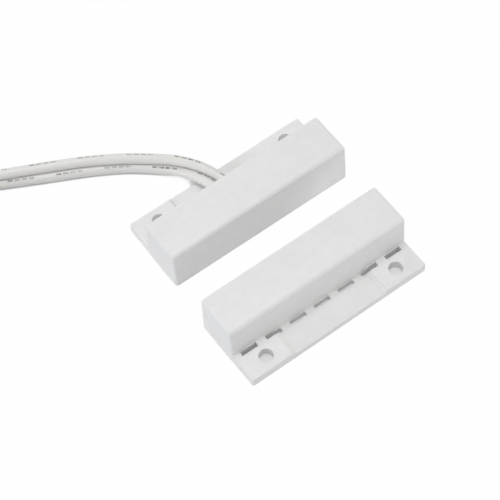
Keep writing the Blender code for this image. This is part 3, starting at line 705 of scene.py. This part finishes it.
def makeMouldedAbs(s):
    material, tree, shader = startMaterial("whiteMouldedAbs", {"Roughness": 0.46, "IOR": 1.53})
    where = addNode(tree, "ShaderNodeTexCoord")
    points = addNode(
        tree, "ShaderNodeMapping", {"Scale": inMillimetres}, {"Vector": where.outputs["Object"]}
    ).outputs["Vector"]
    fields = {}
    for name, detail in (("grain", 2.0), ("mottle", 3.0), ("sink", 1.0)):
        fields[name] = addNode(
            tree,
            "ShaderNodeTexNoise",
            {"Scale": 1 / s[name], "Detail": detail, "Roughness": 0.55},
            {"Vector": points},
        ).outputs["Fac"]
    drift = addNode(
        tree,
        "ShaderNodeMath",
        {1: s["sinkShare"]},
        {0: fields["sink"], 2: fields["mottle"]},
        operation="MULTIPLY_ADD",
    )
    share = addNode(
        tree,
        "ShaderNodeMapRange",
        {"From Min": 0.6, "From Max": 1.0, "To Min": 0.0, "To Max": 1.0},
        {"Value": drift.outputs[0]},
    )
    color = addNode(
        tree,
        "ShaderNodeMixRGB",
        {"Color1": linearColor(s["shade"]), "Color2": linearColor(s["color"])},
        {"Fac": share.outputs["Result"]},
    )
    tree.links.new(color.outputs["Color"], shader.inputs["Base Color"])
    rough = addNode(
        tree,
        "ShaderNodeMapRange",
        {"From Min": 0.3, "From Max": 0.7, "To Min": 0.42, "To Max": 0.52},
        {"Value": fields["grain"]},
    )
    tree.links.new(rough.outputs["Result"], shader.inputs["Roughness"])
    sunk = addNode(
        tree, "ShaderNodeBump", {"Strength": 0.12, "Distance": 0.0001}, {"Height": fields["mottle"]}
    )
    grained = addNode(
        tree,
        "ShaderNodeBump",
        {"Strength": 0.12, "Distance": 0.00004},
        {"Height": fields["grain"], "Normal": sunk.outputs["Normal"]},
    )
    tree.links.new(grained.outputs["Normal"], shader.inputs["Normal"])
    return material


# white PVC insulation, extruded: smoother and a little glossier than the housing, with faint
# lengthwise drawing lines and a row of small grey printed dashes
extrudedPvc = {
    "color": "#E2E1DE",
    "ink": "#7E7E7D",
    "dash": 1.75,  # mm, one printed dash and its gap
    "printed": 0.76,  # share of that length which the dash takes
    "group": 12.0,  # mm, four dashes and the bare stretch after them
    "filled": 7.0,
    "row": 0.055,  # turn of the wire that a dash is wide
    "faintest": 0.35,  # share of the ink that the palest dash has
    "twist": (15.0, 27.0),  # mm, the stretch over which the row winds round to its later turn
    "lineLength": 8.3,  # mm
    "lineWidth": 0.24,  # mm, drawn wider than real drawing lines so that they show
    "rows": {
        "A": {"turns": (0.16, 0.31), "shift": 0.4},  # turn of the wire, mm
        "B": {"turns": (0.195, 0.195), "shift": 4.0},
    },
}


def makeExtrudedPvc(letter, s, wire):
    material, tree, shader = startMaterial(
        "whiteExtrudedPvc" + letter,
        {
            "Roughness": 0.34,
            "IOR": 1.53,
            "Subsurface Weight": 0.7,
            "Subsurface Radius": (1.0, 0.97, 0.92),
            "Subsurface Scale": 0.0014,
        },
    )
    row = s["rows"][letter]
    where = addNode(tree, "ShaderNodeTexCoord")
    split = addNode(tree, "ShaderNodeSeparateXYZ", links={"Vector": where.outputs["UV"]})
    # along the wire: groups of dashes, and in a group one dash in each cell
    along = addNode(
        tree, "ShaderNodeMath", {1: row["shift"]}, {0: split.outputs["X"]}, operation="ADD"
    )
    inGroup = addNode(
        tree, "ShaderNodeMath", {1: s["group"]}, {0: along.outputs[0]}, operation="FLOORED_MODULO"
    )
    drawn = addNode(
        tree, "ShaderNodeMath", {1: s["filled"]}, {0: inGroup.outputs[0]}, operation="LESS_THAN"
    )
    cell = addNode(
        tree, "ShaderNodeMath", {1: s["dash"]}, {0: inGroup.outputs[0]}, operation="DIVIDE"
    )
    inCell = addNode(tree, "ShaderNodeMath", links={0: cell.outputs[0]}, operation="FRACT")
    mark = addNode(
        tree, "ShaderNodeMath", {1: s["printed"]}, {0: inCell.outputs[0]}, operation="LESS_THAN"
    )
    # each dash takes its ink unevenly
    count = addNode(
        tree, "ShaderNodeMath", {1: s["dash"]}, {0: along.outputs[0]}, operation="DIVIDE"
    )
    number = addNode(tree, "ShaderNodeMath", links={0: count.outputs[0]}, operation="FLOOR")
    chance = addNode(
        tree, "ShaderNodeTexWhiteNoise", links={"W": number.outputs[0]}, noise_dimensions="1D"
    )
    strength = addNode(
        tree, "ShaderNodeMapRange", {"To Min": s["faintest"]}, {"Value": chance.outputs["Value"]}
    )
    # round the wire: one row, which winds from one turn to another
    turn = addNode(
        tree,
        "ShaderNodeMapRange",
        {
            "From Min": s["twist"][0],
            "From Max": s["twist"][1],
            "To Min": row["turns"][0],
            "To Max": row["turns"][1],
        },
        {"Value": split.outputs["X"]},
        interpolation_type="SMOOTHSTEP",
    )
    offset = addNode(
        tree,
        "ShaderNodeMath",
        links={0: split.outputs["Y"], 1: turn.outputs["Result"]},
        operation="SUBTRACT",
    )
    away = addNode(tree, "ShaderNodeMath", links={0: offset.outputs[0]}, operation="ABSOLUTE")
    inRow = addNode(
        tree, "ShaderNodeMath", {1: s["row"] / 2}, {0: away.outputs[0]}, operation="LESS_THAN"
    )
    ink = drawn
    for factor in (mark, inRow, strength):
        ink = addNode(
            tree,
            "ShaderNodeMath",
            links={0: ink.outputs[0], 1: factor.outputs[0]},
            operation="MULTIPLY",
        )
    color = addNode(
        tree,
        "ShaderNodeMixRGB",
        {"Color1": linearColor(s["color"]), "Color2": linearColor(s["ink"])},
        {"Fac": ink.outputs[0]},
    )
    tree.links.new(color.outputs["Color"], shader.inputs["Base Color"])
    # drawing lines, in a mm of the wire and in one turn of it
    linesAlong = round(1 / s["lineLength"], 2)
    linesRound = round(2 * math.pi * wire["radius"] / s["lineWidth"])
    stretched = addNode(
        tree,
        "ShaderNodeMapping",
        {"Scale": (linesAlong, linesRound, 1.0)},
        {"Vector": where.outputs["UV"]},
    )
    lines = addNode(
        tree,
        "ShaderNodeTexNoise",
        {"Scale": 1.0, "Detail": 3.0},
        {"Vector": stretched.outputs["Vector"]},
    )
    relief = addNode(
        tree,
        "ShaderNodeBump",
        {"Strength": 0.15, "Distance": 0.00004},
        {"Height": lines.outputs["Fac"]},
    )
    tree.links.new(relief.outputs["Normal"], shader.inputs["Normal"])
    return material


def dress(material, *names):
    for name in names:
        nodes[name].material_slots[0].material = material


housingAbs = makeMouldedAbs(mouldedAbs)
dress(housingAbs, "switch_housing", "magnet_housing", "switch_base_cover", "magnet_base_cover")
wireA.data.materials.append(makeExtrudedPvc("A", extrudedPvc, wireSettings))
wireB.data.materials.append(makeExtrudedPvc("B", extrudedPvc, wireSettings))

# reed capsule: pale green lead glass, drawn and flame sealed, so it is clear and very smooth
flameSealedGlass = makeGrained(
    "flameSealedGlass",
    {"Roughness": 0.03, "IOR": 1.52, "Transmission Weight": 1.0},
    low="#C9E0CF",
    high="#D5E8D9",
    grain=3.0,
    bump=0.05,
)
dress(flameSealedGlass, "reed_glass")
# nickel-iron leads: drawn wire, warm grey with a fine grain
drawnNickelIron = makeGrained(
    "drawnNickelIron",
    {"Metallic": 1.0, "Roughness": 0.3},
    low="#B9B2A6",
    high="#CDC7BC",
    grain=0.2,
)
dress(drawnNickelIron, "reed_lead_a", "reed_lead_b")
dress(flowedTin, "solder_joint_a", "solder_joint_b")
# shrink sleeve: black polyolefin, matt and faintly orange-peeled from the heat gun
shrunkPolyolefin = makeGrained(
    "shrunkPolyolefin", {"Roughness": 0.5}, low="#161616", high="#1F1F1F", grain=0.5, bump=0.3
)
dress(shrunkPolyolefin, "joint_sleeve_a", "joint_sleeve_b")
# hot-melt: waxy amber, frozen as it flowed
frozenHotMelt = makeGrained(
    "frozenHotMelt",
    {"Roughness": 0.32},
    low="#D9CBA0",
    high="#E6DCB8",
    grain=1.5,
    bump=0.4,
    depth=0.2,
)
dress(frozenHotMelt, "wire_anchor_glue")
# ferrite: sintered and ground, charcoal with a fine open grain
sinteredFerrite = makeGrained(
    "sinteredFerrite", {"Roughness": 0.58}, low="#2A2A2C", high="#3A3A3D", grain=0.25, bump=0.4
)
dress(sinteredFerrite, "bar_magnet")
# foam: closed cells about half a millimetre across
closedCellFoam = makeGrained(
    "closedCellFoam",
    {"Roughness": 0.9},
    low="#3D3D40",
    high="#55555A",
    grain=0.5,
    bump=0.8,
    depth=0.3,
)
dress(closedCellFoam, "magnet_foam_strip")
print("materials made")


# how near corners are to be joined, in m, and from how many degrees an edge stays crisp
shadingSettings = {"weld": 0.000002, "crisp": 32}


def softenShading(node, s):
    weld = node.modifiers.new("weldTriangles", "WELD")
    weld.merge_threshold = s["weld"]
    split = node.modifiers.new("keepEdges", "EDGE_SPLIT")
    split.split_angle = math.radians(s["crisp"])
    split.use_edge_sharp = False
    node.data.shade_smooth()


for node in nodes.values():
    if not node.hide_render:
        softenShading(node, shadingSettings)
print("shading softened")

stageSettings = {
    "floor": "#F4F4F4",
    "floorSize": 6.0,  # m
    "floorDrop": 0.00002,  # m, keeps it clear of the undersides
    "floorGlow": 0.97,  # how much of the open floor that the camera sees is plain white
    "shelterGlow": 0.06,  # the same under a hole or slot
    "shelter": 0.008,  # m, how far round a spot is felt when it is closed in
    "shelterSamples": 64,
    # share of open space above a spot: up to the first it is closed in, from the second open
    "openShare": (0.4, 0.47),
    "skyLight": 0.3,
}
lampSettings = {
    "topSoftbox": {"place": (0.0, 0.0, 1.6), "size": 0.8, "power": 10.0, "color": "#FFFFFF"},
    "leftFill": {"place": (-1.2, 0.1, 0.4), "size": 0.8, "power": 5.4, "color": "#F6F8FF"},
    "rightFill": {"place": (0.9, -0.8, 0.35), "size": 0.8, "power": 4.1, "color": "#FFFFFF"},
    "backFill": {"place": (0.2, 1.2, 0.6), "size": 0.8, "power": 3.2, "color": "#FFFFFF"},
}


def seenDirectly(tree):
    # 1 for what the camera sees, also through glass and in a shiny surface
    rays = addNode(tree, "ShaderNodeLightPath").outputs
    seen = rays["Is Camera Ray"]
    for kind in ("Is Transmission Ray", "Is Glossy Ray"):
        seen = addNode(
            tree, "ShaderNodeMath", links={0: seen, 1: rays[kind]}, operation="MAXIMUM"
        ).outputs["Value"]
    return seen


def makeFloor(s):
    mesh = bpy.data.meshes.new("paleFloor")
    half = s["floorSize"] / 2
    corners = [(-half, -half, 0), (half, -half, 0), (half, half, 0), (-half, half, 0)]
    mesh.from_pydata(corners, [], [(0, 1, 2, 3)])
    floor = bpy.data.objects.new("paleFloor", mesh)
    floor.location.z = -s["floorDrop"]
    bpy.context.scene.collection.objects.link(floor)
    material, tree, shader = startMaterial(
        "paleFloor",
        {"Base Color": linearColor(s["floor"]), "Roughness": 0.9, "Specular IOR Level": 0.0},
    )
    seen = seenDirectly(tree)
    # under the flange's holes and slots the floor keeps its own shade
    shelter = addNode(
        tree,
        "ShaderNodeAmbientOcclusion",
        {"Distance": s["shelter"]},
        samples=s["shelterSamples"],
    )
    isOpen = addNode(
        tree,
        "ShaderNodeMapRange",
        {
            "From Min": s["openShare"][0],
            "From Max": s["openShare"][1],
            "To Min": s["shelterGlow"],
            "To Max": s["floorGlow"],
        },
        {"Value": shelter.outputs["AO"]},
    )
    share = addNode(
        tree,
        "ShaderNodeMath",
        links={0: seen, 1: isOpen.outputs["Result"]},
        operation="MULTIPLY",
    )
    glow = addNode(tree, "ShaderNodeEmission", {"Color": (1, 1, 1, 1), "Strength": 1.0})
    mixed = addNode(
        tree,
        "ShaderNodeMixShader",
        links={
            "Fac": share.outputs["Value"],
            1: shader.outputs["BSDF"],
            2: glow.outputs["Emission"],
        },
    )
    tree.links.new(mixed.outputs["Shader"], tree.nodes["Material Output"].inputs["Surface"])
    mesh.materials.append(material)


def makeSky(s):
    world = bpy.data.worlds.new("softStudio")
    bpy.context.scene.world = world
    world.use_nodes = True
    tree = world.node_tree
    sky = tree.nodes["Background"]
    sky.inputs["Color"].default_value = (1, 1, 1, 1)
    seen = seenDirectly(tree)
    strength = addNode(
        tree, "ShaderNodeMapRange", {"To Min": s["skyLight"], "To Max": 1.0}, {"Value": seen}
    )
    tree.links.new(strength.outputs["Result"], sky.inputs["Strength"])


def makeLamp(name, s):
    data = bpy.data.lights.new(name, "AREA")
    data.shape = "SQUARE"
    data.size = s["size"]
    data.energy = s["power"]
    data.color = linearColor(s["color"])[:3]
    light = bpy.data.objects.new(name, data)
    light.location = s["place"]
    light.rotation_euler = (-Vector(s["place"])).to_track_quat("-Z", "Y").to_euler()
    bpy.context.scene.collection.objects.link(light)


makeFloor(stageSettings)
makeSky(stageSettings)
for name, lamp in lampSettings.items():
    makeLamp(name, lamp)
bpy.context.scene.view_settings.view_transform = "Standard"
print("stage lit")
